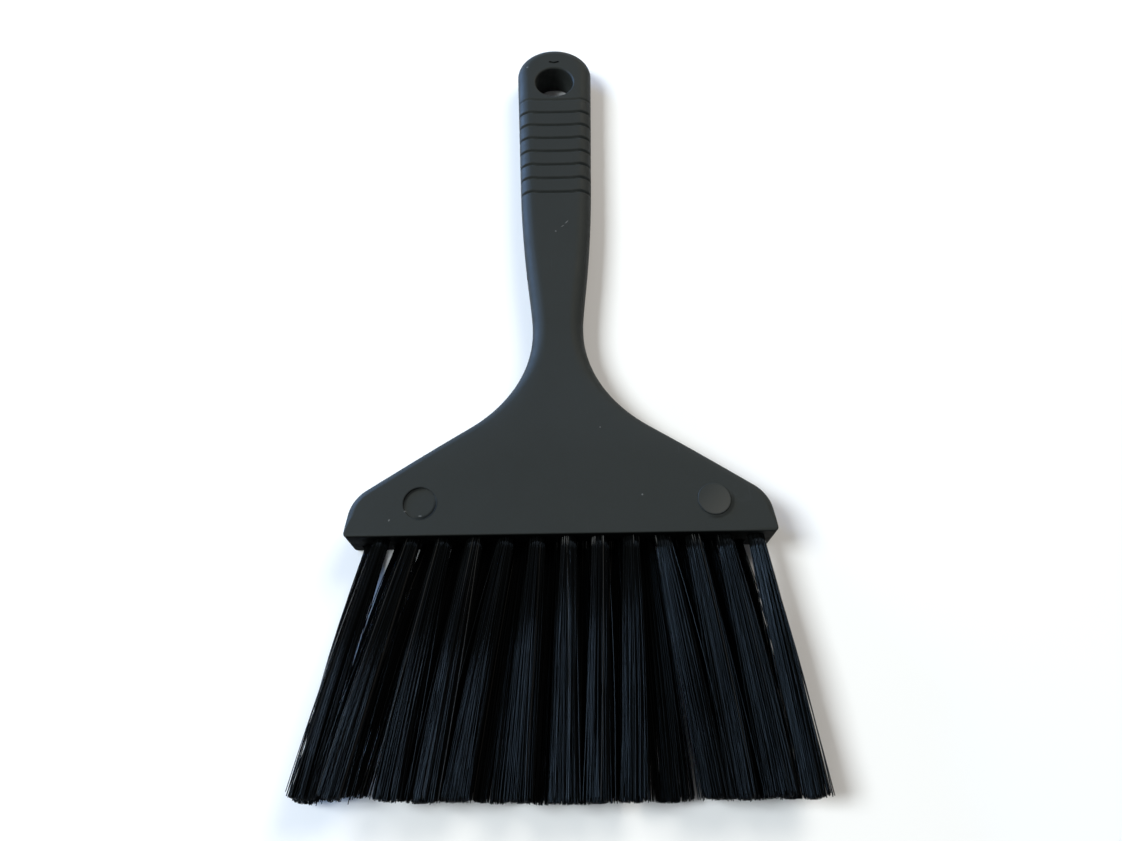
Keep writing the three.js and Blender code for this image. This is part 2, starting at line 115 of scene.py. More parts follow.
# Holes for the tufts, and where the tips of the front row lie across, from left to right
TUFT_HOLE_RADIUS = 0.00275
TUFT_HOLE_DEPTH = 0.012
DRILL_POINT = 0.0014
ROOT_PITCH = 0.01024
HOLE_FAN = 0.19
ROW_STAGGER = 0.25
LEFT_TIPS = (-0.0772, -0.0683, -0.0525, -0.0406, -0.0310, -0.0143)
RIGHT_TIPS = (-0.0004, 0.0098, 0.0200, 0.0440, 0.0530, 0.0640, 0.0722)
FRONT_TIPS = LEFT_TIPS + RIGHT_TIPS

# Back tufts stand between the front ones. Some lean aside, and some leave their holes in a tight bunch.
END_TIP_GAP = 0.0008
BACK_TIP_SHIFTS = ((1, 0.0025), (2, -0.0048), (12, 0.0005))
TIGHT_BACK_TUFTS = (0, 1, 12)
ROOT_REACH = 0.0025
TIGHT_ROOT_REACH = 0.0014

# Filaments
FILAMENTS = 185
FILAMENT_ROOT_RADIUS = 0.00018
FILAMENT_TIP_RADIUS = 0.00014
FILAMENT_EMBED = 0.006
FILAMENT_SIDES = 6
FILAMENT_STEPS = 9
CUT_END_SHARE = 0.004
PACKING = 0.42
GOLDEN_ANGLE = math.pi * (3 - math.sqrt(5))
ROW_SEEDS = {"front": 11, "back": 23}

# How the filaments of a tuft part on the way to their tips
TIP_LIMIT = 0.0812
HELD_BEND = 4.0
OUTWARD_BOW = 0.04
SPREAD_ACROSS = {"front": 1.50, "back": 2.60}
SPREAD_THROUGH = 1.05
SPLAY_BEND = {"front": 0.80, "back": 0.60}
CLUMP = 0.0022
CLUMP_SCALE = 2.3
CLUMP_THROUGH = 0.4
STRAY = 0.0035
STRAY_POWER = 9.0
STRAY_THROUGH = 0.3
SWAY = 0.0006
SWAY_THROUGH = 0.5
TUFT_SHORTFALL = 0.0005
FILAMENT_SHORTFALL = 0.0012
SHORTFALL_POWER = 2.0
TUFT_END_ROUND = 0.0008
TUFT_END_POWER = 3.0

# Gloss of the filaments, which differs in streaks across a tuft
# The back row's lower gloss is painted shade: it dims that row's sheen as if the front row shaded it
ROW_GLOSS_AND_SHADE = {"front": 1.0, "back": 0.4}
STREAKS = 4.5
STREAK_SCALE = 4.5
MEAN_GLOSS = 0.95
LEAST_GLOSS = 0.2

# A tuft's number is its place across in millimetres, made positive. It sets the tufts' noise apart.
MILLIMETRES = 1000.0
TUFT_NUMBER_START = 200.0
TUFT_NOISE_STEP = 7.0

# Fineness of the body's skin
ARC_STEP = math.radians(3)
RUN_STEP = 0.004
RIB_STEP = 0.00023
EDGE_STEPS = 9
ACROSS_STEPS = 12
HOLE_SIDES = 72
TUFT_HOLE_SIDES = 24
RIM_STEPS = 6
DASH_STEPS = 8
SHARP_ANGLE = math.radians(38)
RIM_SLOPES = (0.02, 0.5)
CUT_THROUGH = 0.002

# Tones of the body: linear red, green and blue, and opacity
CHARCOAL_DARK = (0.0208, 0.0234, 0.0223, 1)
CHARCOAL_LIGHT = (0.0224, 0.0252, 0.0240, 1)
RUBBED_TONE = (0.046, 0.051, 0.055, 1)
SCRATCH_TONE = (0.07, 0.075, 0.08, 1)
DUST_TONE = (0.42, 0.43, 0.43, 1)
PROUD_MARK_TONE = (0.043, 0.043, 0.038, 1)
# Pale tone of the scuffs and specks, and of two painted glints
SCUFF_AND_GLINT_TONE = (0.16, 0.165, 0.165, 1)
# Painted shade: laid in the rim of the sunk mark, beside the proud mark as its shadow, and on the underside
PAINTED_SHADE_TONE = (0.002, 0.0022, 0.0024, 1)

# How strongly wear, painted glints and painted shade show on the body, and how the body shines
RUBBED_SHARE = 0.4
RUBBED_POLISH = 0.08
SCRATCH_SHARE = 0.35
DUST_SHARE = 0.8
SCUFF_AND_GLINT_SHARE = 0.55
# Painted shade in the rim of the sunk mark, and a painted shadow beside the proud mark
SUNK_MARK_SHADE = 0.7
PROUD_MARK_SHADOW = 0.4
BODY_SHINE = 0.09
BODY_ROUGHNESS = (0.50, 0.60)
PLASTIC_IOR = 1.49

# Texture of the body: scales in features to a metre, and the span of each noise that is used
NOISE_SPAN = (0.3, 0.7)
MOTTLE_SCALE = 38
RUBBED_SCALE = 240
RUBBED_SPAN = (0.48, 0.75)
SCRATCH_SCALES = (900, 60, 300)
SCRATCH_TURN = math.radians(38)
SCRATCH_SPAN = (0.66, 0.76)
SCRATCH_PATCH_SCALE = 26
SCRATCH_PATCH_SPAN = (0.55, 0.72)
DUST_SCALE = 210
DUST_SPAN = (0.955, 0.965)
DUST_SIZE = (0.08, 0.05)
ROUGHNESS_SCALE = 160
GRAIN_SCALE = 2400
GRAIN_DEPTH = 0.00007
GRAIN_STRENGTH = 0.5

# Scuffs and specks on the front face, and two painted glints on the lower rim of the sunk mark: across,
# above the underside, length, width, turn
SCUFFS_AND_GLINTS = (
    (0.0040, 0.1271, 0.0024, 0.0005, math.radians(50)),
    (0.0024, 0.1252, 0.0018, 0.0004, math.radians(35)),
    (-0.0003, 0.1228, 0.0008, 0.0008, 0),
    (0.0271, 0.0131, 0.0008, 0.0008, 0),
    # Two painted glints on the lower rim of the sunk mark
    (-0.0511, 0.0085, 0.0009, 0.0008, 0),
    (-0.0461, 0.0069, 0.0014, 0.0006, 0),
    (-0.0561, 0.0055, 0.0010, 0.0007, math.radians(60)),
    (0.0140, 0.0379, 0.0006, 0.0006, 0),
    (-0.0116, 0.2102, 0.0012, 0.0010, 0),
)
OVAL_FADE = (1.0, 0.4)
OVAL_MARGIN = 0.002

# Masks of the marks and the underside: each pair says where a mask starts and where it is full
MARK_FACE_LEVELS = (HEAD_THICKNESS - 0.002, HEAD_THICKNESS - 0.001)
MARK_FACE_RADII = (MARK_RADIUS, MARK_RADIUS - 0.0006)
MARK_FACE_SLANTS = (-1.2, 0.8)
# Rings of painted shade and shadow at the marks, and the band of painted shade on the underside
SHADE_RING_WIDTHS = (0.0009, 0.0003)
SHADE_RING_SLANTS = (0.35, 0.85)
UNDERSIDE_LEVELS = (UNDERSIDE + 0.0004, UNDERSIDE + 0.0001)

# Painted shade: its radius at each mark, and two places across the underside with its share there
SUNK_SHADE_RADIUS = MARK_RADIUS - 0.0003
PROUD_SHADOW_RADIUS = MARK_RADIUS + 0.0006
UNDERSIDE_PLACES = (0.05, 0.07)
UNDERSIDE_SHADE = (0.92, 0.6)

# Finish of the bristles
FILAMENT_DARK = (0.0015, 0.0017, 0.0016, 1)
FILAMENT_LIGHT = (0.0040, 0.0045, 0.0047, 1)
PALE_TONE = (0.028, 0.027, 0.025, 1)
PALE_SHARE = 0.5
PALE_SHADES = (0.97, 0.985)
# Tone of the painted glints at the bends of the roots
GLINT_TONE = (0.10, 0.10, 0.097, 1)
FULL_GLOSS = 2
SHEEN = 0.205
SHEEN_TINT = (0.49, 0.70, 1.0, 1)
FILAMENT_ROUGHNESS = (0.06, 0.10)
FILAMENT_IOR = 1.5
DRAWN_SCALES = (5200, 120, 5200)
DRAWN_DEPTH = 0.00002
DRAWN_STRENGTH = 0.4

# Painted glints where the bends at the roots catch the light: which filaments, how far along them, and where
# across
GLINT_SHADES = (0.84, 0.90)
GLINT_RUN = (0.105, 0.080)
GLINT_LEFT = (-0.003, 0.001)
GLINT_RIGHT = (0.060, 0.030)

# Painted sheen: gains of the sheen by place, two places across with the gains there, the bright root of the
# right end tuft,
# and a tuft darkened with painted shade: its left side, its right side and its run towards the tips
LEFT_SHEEN = (-0.075, -0.045, 1.15, 1.0)
RIGHT_SHEEN = (0.02, 0.06, 1.0, 0.76)
END_TUFT_SIDE = (0.058, 0.063)
END_TUFT_RUN = (0.55, 0.20)
SHADED_TUFT_LEFT = (0.030, 0.034)
SHADED_TUFT_RIGHT = (0.053, 0.047)
SHADED_TUFT_RUN = (0.42, 0.70)
SHADED_TUFT_SHARE = 0.5

# Finish of the wire anchors and the floor
STEEL_BRIGHT = (0.60, 0.61, 0.63, 1)
STEEL_DULL = (0.42, 0.42, 0.43, 1)
STEEL_ROUGHNESS = (0.26, 0.42)
WIRE_SCALES = (200, 4200, 4200)
WIRE_DULL_SCALE = 420
WIRE_DULL_SPAN = (0.35, 0.7)
WIRE_DRAWN_DEPTH = 0.00002
WIRE_DRAWN_STRENGTH = 0.5
FLOOR_DARK = (0.84, 0.84, 0.84, 1)
FLOOR_LIGHT = (0.86, 0.86, 0.86, 1)
FLOOR_TONE_SCALE = 3
FLOOR_ROUGHNESS = 0.9

# Camera and floor
IMAGE_WIDTH = 1122
FOCAL_PIXELS = 830
SENSOR_WIDTH = 36
CAMERA_NEAR = 0.01
CAMERA_TILT = math.radians(24.6)
CAMERA_ROLL = -0.0155
CAMERA_HEIGHT = 0.2757
CAMERA_ASIDE = 0.0006
CAMERA_BELOW_HEAD = 0.0785
FLOOR_DROP = 0.0002
FLOOR_SIZE = 30
FLOOR_CELLS = 8

# Light: a warm lamp at the upper right, a window on the left, a low strip of blue sky at the upper left
LIGHTS = (
    {
        "name": "overhead", "place": (0.95, 1.30, 1.45), "target": (0, 0, 0),
        "size": (1.1, 1.1), "power": 27, "colour": (1.0, 0.94, 0.85),
    },
    {
        "name": "window", "place": (-1.75, 0.05, 2.05), "target": (0, 0.05, 0),
        "size": (1.00, 1.10), "power": 76, "colour": (0.90, 0.97, 1.0),
    },
    {
        "name": "sky", "place": (-1.40, 1.10, 0.25), "target": (0, 0, 0),
        "size": (0.8, 0.35), "power": 54, "colour": (0.29, 0.53, 1.0),
    },
)
ROOM_TONE = (0.97, 0.98, 1.0, 1)
ROOM_STRENGTH = 0.16


# Node trees

def add_node(tree, kind, inputs=None, **settings):
    """Adds a node, sets its options, and feeds its inputs with values or with other nodes."""
    node = tree.nodes.new(kind)
    for name, value in settings.items():
        setattr(node, name, value)
    for name, value in (inputs or {}).items():
        feed(node.inputs[name], value)
    return node


def feed(socket, value):
    """Links an input to a field or an output, or sets it to a plain value."""
    if isinstance(value, Field):
        value = value.socket
    if isinstance(value, bpy.types.NodeSocket):
        socket.id_data.links.new(value, socket)
    else:
        socket.default_value = value


class Field:
    """An output of a node. Arithmetic on it adds Math or Vector Math nodes to its tree."""

    def __init__(self, socket):
        self.socket = socket
        self.tree = socket.id_data
        self.is_vector = socket.type in {"VECTOR", "RGBA"}

    def join(self, operation, *others):
        kind = "ShaderNodeVectorMath" if self.is_vector else "ShaderNodeMath"
        node = add_node(self.tree, kind, operation=operation)
        slots = [node.inputs["Scale"]] if operation == "SCALE" else node.inputs[1:]
        feed(node.inputs[0], self)
        for slot, other in zip(slots, others):
            feed(slot, other)
        return Field(node.outputs[0])

    def __add__(self, other):
        return self.join("ADD", other)

    def __sub__(self, other):
        return self.join("SUBTRACT", other)

    def __mul__(self, other):
        return self.join("SCALE" if self.is_vector else "MULTIPLY", other)

    def __truediv__(self, other):
        return self.join("DIVIDE", other)

    def __pow__(self, other):
        return self.join("POWER", other)

    def function(self, operation):
        return self.join(operation)


# Materials

class Finish:
    """A material whose surface is worked out by nodes from the piece's own coordinates."""

    def __init__(self, name):
        self.material = bpy.data.materials.new(name)
        self.material.use_nodes = True
        self.tree = self.material.node_tree
        self.surface = self.tree.nodes["Principled BSDF"]
        self.place = add_node(self.tree, "ShaderNodeTexCoord").outputs["Object"]

    def axes(self):
        """The piece's coordinates: across, along and through it."""
        node = add_node(self.tree, "ShaderNodeSeparateXYZ", {"Vector": self.place})
        return [Field(socket) for socket in node.outputs]

    def stretched(self, scales, turn=0.0):
        """The piece's coordinates, scaled apart on each axis and turned in the plane of the front face."""
        inputs = {"Vector": self.place, "Scale": scales, "Rotation": (0, 0, turn)}
        return add_node(self.tree, "ShaderNodeMapping", inputs).outputs["Vector"]

    def noise(self, scale, detail=2.0, roughness=0.5, place=None):
        inputs = {"Vector": place or self.place, "Scale": scale, "Detail": detail, "Roughness": roughness}
        return add_node(self.tree, "ShaderNodeTexNoise", inputs).outputs["Fac"]

    def cells(self, scale):
        return add_node(self.tree, "ShaderNodeTexVoronoi", {"Vector": self.place, "Scale": scale})

    def attribute(self, name):
        return add_node(self.tree, "ShaderNodeAttribute", attribute_name=name).outputs["Fac"]

    def ranged(self, value, low, high, to_low=0.0, to_high=1.0):
        """A value spread from one range to another, and held at the ends."""
        names = ("Value", "From Min", "From Max", "To Min", "To Max")
        inputs = dict(zip(names, (value, low, high, to_low, to_high)))
        return Field(add_node(self.tree, "ShaderNodeMapRange", inputs).outputs["Result"])

    def blend(self, share, first, second):
        """A colour part of the way from the first to the second."""
        mix_node = add_node(self.tree, "ShaderNodeMix", data_type="RGBA")
        factor, a, b = (mix_node.inputs[i] for i in (0, 6, 7))
        for socket, value in ((factor, share), (a, first), (b, second)):
            feed(socket, value)
        return mix_node.outputs[2]

    def bump(self, height, depth, strength):
        inputs = {"Height": height, "Distance": depth, "Strength": strength}
        normal = add_node(self.tree, "ShaderNodeBump", inputs).outputs["Normal"]
        feed(self.surface.inputs["Normal"], normal)

    def set(self, **inputs):
        """Feeds the surface's inputs, named with underscores for spaces."""
        for name, value in inputs.items():
            feed(self.surface.inputs[name.replace("_", " ")], value)


class MarkPlace:
    """Where a point of the front face lies on an ejector mark."""

    def __init__(self, finish, middle):
        across, along, through = finish.axes()
        across = across - middle
        along = along - (UNDERSIDE + MARK_HEIGHT)
        self.finish = finish
        self.radius = (across * across + along * along).function("SQRT")
        self.slant = (across - along) / (MARK_RADIUS * math.sqrt(2))
        self.front = finish.ranged(through, *MARK_FACE_LEVELS)

    def crescent(self, radius, slant):
        """1 along the part of a ring that lies far out on a slant, fading to 0 beside it."""
        ring = self.finish.ranged((self.radius - radius).function("ABSOLUTE"), *SHADE_RING_WIDTHS)
        return ring * self.finish.ranged(slant, *SHADE_RING_SLANTS) * self.front

    def face(self):
        """Rises over the face of the mark from its upper left to its lower right."""
        inside = self.finish.ranged(self.radius, *MARK_FACE_RADII)
        return inside * self.finish.ranged(self.slant, *MARK_FACE_SLANTS) * self.front


def scratches(finish):
    """Fine slanting scratches, gathered in patches."""
    place = finish.stretched(SCRATCH_SCALES, SCRATCH_TURN)
    lines = finish.noise(1, detail=3, roughness=0.6, place=place)
    patches = finish.ranged(finish.noise(SCRATCH_PATCH_SCALE), *SCRATCH_PATCH_SPAN)
    return finish.ranged(lines, *SCRATCH_SPAN) * patches


def dust(finish):
    """Round specks in a few of many cells."""
    cells = finish.cells(DUST_SCALE)
    chosen = finish.ranged(cells.outputs["Color"], *DUST_SPAN)
    return finish.ranged(cells.outputs["Distance"], *DUST_SIZE) * chosen


def front_oval(finish, across, along, length, width, turn):
    """1 in the middle of an oval on the front face, 0 at its edge and outside it."""
    x, y, z = finish.axes()
    x = x - across
    y = y - along
    front = finish.ranged(z, HANDLE_THICKNESS / 2, HANDLE_THICKNESS - OVAL_MARGIN)
    down = (x * math.cos(turn) + y * math.sin(turn)) / (length / 2)
    aside = (y * math.cos(turn) - x * math.sin(turn)) / (width / 2)
    return finish.ranged((down * down + aside * aside).function("SQRT"), *OVAL_FADE) * front


def painted_shade(finish, sunk, proud):
    """Painted shade in the rim of the sunk mark, a painted shadow beside the proud mark, and painted shade
    on the underside of the head.
    """
    sunk_rim = sunk.crescent(SUNK_SHADE_RADIUS, sunk.slant.function("ABSOLUTE"))
    proud_rim = proud.crescent(PROUD_SHADOW_RADIUS, proud.slant)
    rims = sunk_rim * SUNK_MARK_SHADE + proud_rim * PROUD_MARK_SHADOW
    # Painted shade on the underside of the head, weaker towards its right end
    across, along, _ = finish.axes()
    depth = finish.ranged(across, *UNDERSIDE_PLACES, *UNDERSIDE_SHADE)
    under = finish.ranged(along, *UNDERSIDE_LEVELS) * depth
    return rims.join("MAXIMUM", under)


def body_plastic():
    """Matt charcoal moulding: fine spark grain, mottled tone, rubbed edges, scratches, dust, scuffs, painted
    glints, painted shade.
    """
    finish = Finish("charcoal_moulding")
    mottle = finish.ranged(finish.noise(MOTTLE_SCALE, detail=5, roughness=0.6), *NOISE_SPAN)
    colour = finish.blend(mottle, CHARCOAL_DARK, CHARCOAL_LIGHT)
    patchy = finish.noise(RUBBED_SCALE, detail=4, roughness=0.7)
    rubbed = finish.ranged(patchy, *RUBBED_SPAN) * finish.attribute("rim")
    colour = finish.blend(rubbed * RUBBED_SHARE, colour, RUBBED_TONE)
    colour = finish.blend(scratches(finish) * SCRATCH_SHARE, colour, SCRATCH_TONE)
    colour = finish.blend(dust(finish) * DUST_SHARE, colour, DUST_TONE)

    sunk = MarkPlace(finish, SUNK_MARK_INSET - HEAD_WIDTH / 2)
    proud = MarkPlace(finish, HEAD_WIDTH / 2 - PROUD_MARK_INSET)
    colour = finish.blend(proud.face(), colour, PROUD_MARK_TONE)
    # Scuffs and specks, and two painted glints at the sunk mark
    for across, height, length, width, turn in SCUFFS_AND_GLINTS:
        spot = front_oval(finish, across, UNDERSIDE + height, length, width, turn)
        colour = finish.blend(spot * SCUFF_AND_GLINT_SHARE, colour, SCUFF_AND_GLINT_TONE)
    # Painted shade and shadow darken the colour at the marks' rims and on the underside, and take away the
    # shine there
    shade_mask = painted_shade(finish, sunk, proud)
    colour = finish.blend(shade_mask, colour, PAINTED_SHADE_TONE)

    uneven = finish.noise(ROUGHNESS_SCALE, detail=4, roughness=0.6)
    roughness = finish.ranged(uneven, *NOISE_SPAN, *BODY_ROUGHNESS)
    shine = finish.ranged(shade_mask, 0, 1, BODY_SHINE, 0)
    grain = finish.noise(GRAIN_SCALE, detail=3, roughness=0.55)
    finish.bump(grain, GRAIN_DEPTH, GRAIN_STRENGTH)
    finish.set(Base_Color=colour, Roughness=roughness - rubbed * RUBBED_POLISH)
    finish.set(IOR=PLASTIC_IOR, Specular_IOR_Level=shine)
    return finish.material


def filament_colour(finish, shade, along, across):
    """Near black, with a few pale filaments, and painted glints on some where they bend at the root."""
    colour = finish.blend(shade, FILAMENT_DARK, FILAMENT_LIGHT)
    pale = finish.ranged(shade, *PALE_SHADES)
    colour = finish.blend(pale * PALE_SHARE, colour, PALE_TONE)
    # A painted glint near the roots of some filaments in the middle and right of the row
    lit = finish.ranged(across, *GLINT_LEFT) * finish.ranged(across, *GLINT_RIGHT)
    bent = finish.ranged(along, *GLINT_RUN) * finish.ranged(shade, *GLINT_SHADES) * lit
    return finish.blend(bent, colour, GLINT_TONE)


def filament_sheen(finish, along, across):
    """The sheen of each filament's own gloss, made stronger or weaker in some places as painted sheen and
    painted shade.
    """
    sheen = finish.ranged(finish.attribute("gloss"), 0, FULL_GLOSS, 0, SHEEN)
    sheen = sheen * finish.ranged(across, *LEFT_SHEEN) * finish.ranged(across, *RIGHT_SHEEN)
    end_root = finish.ranged(across, *END_TUFT_SIDE) * finish.ranged(along, *END_TUFT_RUN)
    # Painted shade: the sheen of one tuft is weaker towards its tips
    dulling_and_tuft_shade = finish.ranged(across, *SHADED_TUFT_LEFT) * finish.ranged(across, *SHADED_TUFT_RIGHT)
    dulling_and_tuft_shade = dulling_and_tuft_shade * finish.ranged(along, *SHADED_TUFT_RUN)
    return sheen * (end_root + 1.0) * (dulling_and_tuft_shade * -SHADED_TUFT_SHARE + 1.0)


def bristle_fibre():
    """Black drawn filament with a cool sheen: tone and gloss differ from one filament to the next."""
    finish = Finish("black_filament")
    shade = finish.attribute("shade")
    along = finish.attribute("along")
    across, _, _ = finish.axes()
    colour = filament_colour(finish, shade, along, across)
    sheen = filament_sheen(finish, along, across)
    drawn = finish.noise(1, place=finish.stretched(DRAWN_SCALES))
    finish.bump(drawn, DRAWN_DEPTH, DRAWN_STRENGTH)
    finish.set(Base_Color=colour, Roughness=finish.ranged(shade, 0, 1, *FILAMENT_ROUGHNESS))
    finish.set(IOR=FILAMENT_IOR, Specular_IOR_Level=sheen, Specular_Tint=SHEEN_TINT)
    return finish.material


def anchor_steel():
    """Bright flattened wire, drawn lengthwise and a little dulled."""
    finish = Finish("flat_steel_wire")
    drawn = finish.noise(1, detail=3, roughness=0.6, place=finish.stretched(WIRE_SCALES))
    dulling_and_tuft_shade = finish.ranged(finish.noise(WIRE_DULL_SCALE, detail=3), *WIRE_DULL_SPAN)
    finish.bump(drawn, WIRE_DRAWN_DEPTH, WIRE_DRAWN_STRENGTH)
    finish.set(Base_Color=finish.blend(dulling_and_tuft_shade, STEEL_BRIGHT, STEEL_DULL), Metallic=1.0)
    finish.set(Roughness=finish.ranged(drawn, *NOISE_SPAN, *STEEL_ROUGHNESS))
    return finish.material


def pale_floor():
    finish = Finish("pale_floor")
    tone = finish.ranged(finish.noise(FLOOR_TONE_SCALE, detail=3), *NOISE_SPAN)
    finish.set(Base_Color=finish.blend(tone, FLOOR_DARK, FLOOR_LIGHT), Roughness=FLOOR_ROUGHNESS)
    return finish.material


# Meshes

def new_object(name, data):
    piece = bpy.data.objects.new(name, data)
    bpy.context.scene.collection.objects.link(piece)
    return piece


def settle(piece, name):
    """Turns a piece with live modifiers into a plain mesh object."""
    bpy.context.view_layer.update()
    evaluated = piece.evaluated_get(bpy.context.evaluated_depsgraph_get())
    mesh = bpy.data.meshes.new_from_object(evaluated)
    mesh.name = name
    bpy.data.objects.remove(piece)
    return new_object(name, mesh)


def mesh_from(name, builder):
    """A mesh object whose shape the builder adds to an empty bmesh."""
    shape = bmesh.new()
    builder(shape)
    mesh = bpy.data.meshes.new(name)
    shape.to_mesh(mesh)
    shape.free()
    return new_object(name, mesh)


def add_turned(shape, profile, sides, place):
    """A closed turned solid, from (radius, height) pairs that start and end on its axis."""
    rings = []
    for radius, height in profile:
        count = sides if radius > 0 else 1
        spokes = [2 * math.pi * i / sides for i in range(count)]
        ring = [Vector((radius * math.cos(a), radius * math.sin(a), height)) for a in spokes]
        rings.append([shape.verts.new(place @ point) for point in ring])
    for lower, upper in zip(rings, rings[1:]):
        for i in range(sides):
            j = (i + 1) % sides
            below = [lower[i % len(lower)], lower[j % len(lower)]]
            above = [upper[j % len(upper)], upper[i % len(upper)]]
            shape.faces.new(dict.fromkeys(below + above))


# Outline of the body, right half, measured up from the underside

def round_corner(points, corner, ahead, radius):
    """Ends the outline so far with an arc at a corner, on the way to the point ahead."""
    incoming = (corner - points[-1]).normalized()
    outgoing = (ahead - corner).normalized()
    turn = math.acos(incoming.dot(outgoing))
    hand = math.copysign(1, incoming.cross(outgoing))
    inward = Vector((-incoming.y, incoming.x)) * hand * radius
    centre = corner - incoming * radius * math.tan(turn / 2) + inward
    steps = math.ceil(turn / ARC_STEP)
    for i in range(steps + 1):
        points.append(centre + Matrix.Rotation(hand * turn * i / steps, 2) @ -inward)


def outline_points():
    """The outline from the lower corner to the end of the grip, and the level where the neck is straight."""
    lower_corner = Vector((HEAD_WIDTH / 2, 0))
    shoulder = Vector((HEAD_WIDTH / 2 - HEAD_END_HEIGHT * math.tan(HEAD_END_DRAFT), HEAD_END_HEIGHT))
    rise = (shoulder.x - NECK_WIDTH / 2) * math.tan(SHOULDER_SLOPE)
    neck_corner = Vector((NECK_WIDTH / 2, HEAD_END_HEIGHT + rise))
    grip_root = Vector((GRIP_ROOT_WIDTH / 2, BODY_LENGTH - GRIP_LENGTH))
    grip_end = Vector((GRIP_END_WIDTH / 2, BODY_LENGTH - GRIP_END_RISE))
    grip_line = (grip_end - grip_root).normalized()

    points = [Vector((0, 0))]
    round_corner(points, lower_corner, shoulder, LOWER_CORNER_RADIUS)
    round_corner(points, shoulder, neck_corner, SHOULDER_RADIUS)
    round_corner(points, neck_corner, Vector((NECK_WIDTH / 2, BODY_LENGTH)), NECK_FILLET)
    neck = points.pop()
    handles = (neck + Vector((0, SWELL_START)), grip_root - grip_line * SWELL_END)
    swell_steps = math.ceil((grip_root.y - neck.y) / RUN_STEP) * 2
    swell = interpolate_bezier(neck, *handles, grip_root, swell_steps)
    points.extend(Vector(point) for point in swell)
    steps = math.ceil(math.pi / 2 / ARC_STEP)
    for i in range(steps + 1):
        angle = math.pi / 2 * i / steps
        points.append(Vector((grip_end.x * math.cos(angle), grip_end.y + GRIP_END_RISE * math.sin(angle))))
    return points[1:], neck.y


def at_level(points, level):
    """Where the upper outline passes a level."""
    above = next(i for i in range(len(points) - 1, 0, -1) if points[i - 1].y <= level)
    low, high = points[above - 1], points[above]
    return low.lerp(high, (level - low.y) / (high.y - low.y))


HOLE_LEVEL = BODY_LENGTH - HANG_HOLE_INSET
FIRST_GROOVE = HOLE_LEVEL - HANG_HOLE_RADIUS - GROOVE_SETBACK
GROOVES = [FIRST_GROOVE - i * GROOVE_PITCH for i in range(GROOVE_COUNT)]
OUTLINE, NECK_LEVEL = outline_points()


def spaced_outline():
    """The outline with points added, so that they lie close together where the grooves are."""
    spaced = [OUTLINE[0]]
    for point in OUTLINE[1:]:
        steps = math.ceil((point - spaced[-1]).length / RUN_STEP)
        start = spaced[-1]
        spaced.extend(start.lerp(point, (i + 1) / steps) for i in range(steps))
    low = GROOVES[-1] - GROOVE_WIDTH
    high = GROOVES[0] + GROOVE_WIDTH
    count = math.ceil((high - low) / RIB_STEP)
    ribbed = [at_level(spaced, low + (high - low) * i / count) for i in range(count + 1)]
    below = [point for point in spaced if point.y < low - RIB_STEP]
    above = [point for point in spaced if point.y > high + RIB_STEP]
    return below + ribbed + above


def stations():
    """Points of the outline with their outward directions, all but the last one."""
    line = spaced_outline()
    normals = [Vector((0, -1))]
    for before, after in zip(line, line[2:]):
        along = (after - before).normalized()
        normals.append(Vector((along.y, -along.x)))
    return list(zip(line, normals))


# Thickness, edges and grooves along the body

def smoothstep(value, low, high):
    share = min(max((value - low) / (high - low), 0), 1)
    return share * share * (3 - 2 * share)


def mix(first, second, share):
    return first + (second - first) * share


def taper(y):
    """0 on the thick head, 1 on the thinner neck and grip."""
    return smoothstep(y, HEAD_END_HEIGHT + TAPER_INSET, NECK_LEVEL)


def thickness(y):
    return mix(HEAD_THICKNESS, HANDLE_THICKNESS, taper(y))


def roundness(y):
    """0 on the sharp lower edge of the head, 1 where the edges are round."""
    return smoothstep(y, LOWER_CORNER_RADIUS, LOWER_CORNER_RADIUS + LOWER_EDGE_RUNOUT)


def groove(x, y):
    """Depth of the finger grooves, which sag a little towards the middle of the grip."""
    sagged = y + GROOVE_SAG * max(0, 1 - (2 * x / GRIP_ROOT_WIDTH) ** 2)
    nearest = min(GROOVES, key=lambda level: abs(sagged - level))
    depth = END_GROOVE_DEPTH if nearest == FIRST_GROOVE else GROOVE_DEPTH
    share = min(abs(sagged - nearest) / (GROOVE_WIDTH / 2), 1)
    return depth * (1 + math.cos(math.pi * share)) / 2


def edge_point(point, normal, share, is_front):
    """A point of the skin beside a station, a share of the way over the back or the front edge."""
    bend = math.pi / 2 - EDGE_CREASE
    head_size = mix(LOWER_EDGE_ROUND, HEAD_EDGE_ROUND, roundness(point.y))
    size = mix(head_size, HANDLE_EDGE_ROUND, taper(point.y))
    cut = groove(point.x, point.y) * mix(EDGE_GROOVE_SHARE, 1, share)
    inset = cut + size * (1 - math.cos(share * bend)) / (1 - math.cos(bend))
    from_face = cut + size * (1 - math.sin(share * bend) / math.sin(bend))
    z = thickness(point.y) - from_face if is_front else from_face
    return Vector((point.x - normal.x * inset, point.y - normal.y * inset, z))


def parting_point(point, normal, offset):
    """A point of the fine line where the two halves of the mould met."""
    inset = groove(point.x, point.y) * EDGE_GROOVE_SHARE + (PARTING_DEPTH if offset == 0 else 0)
    z = thickness(point.y) / 2 + offset * PARTING_WIDTH / 2
    return Vector((point.x - normal.x * inset, point.y - normal.y * inset, z))


def skin_rings(loop):
    """Rings of points round the body: over the back edge, along the parting line, over the front edge."""
    shares = [i / EDGE_STEPS for i in range(EDGE_STEPS + 1)]
    for share in reversed(shares):
        yield [edge_point(point, normal, share, False) for point, normal in loop]
    for offset in (-1, 0, 1):
        yield [parting_point(point, normal, offset) for point, normal in loop]
    for share in shares:
        yield [edge_point(point, normal, share, True) for point, normal in loop]


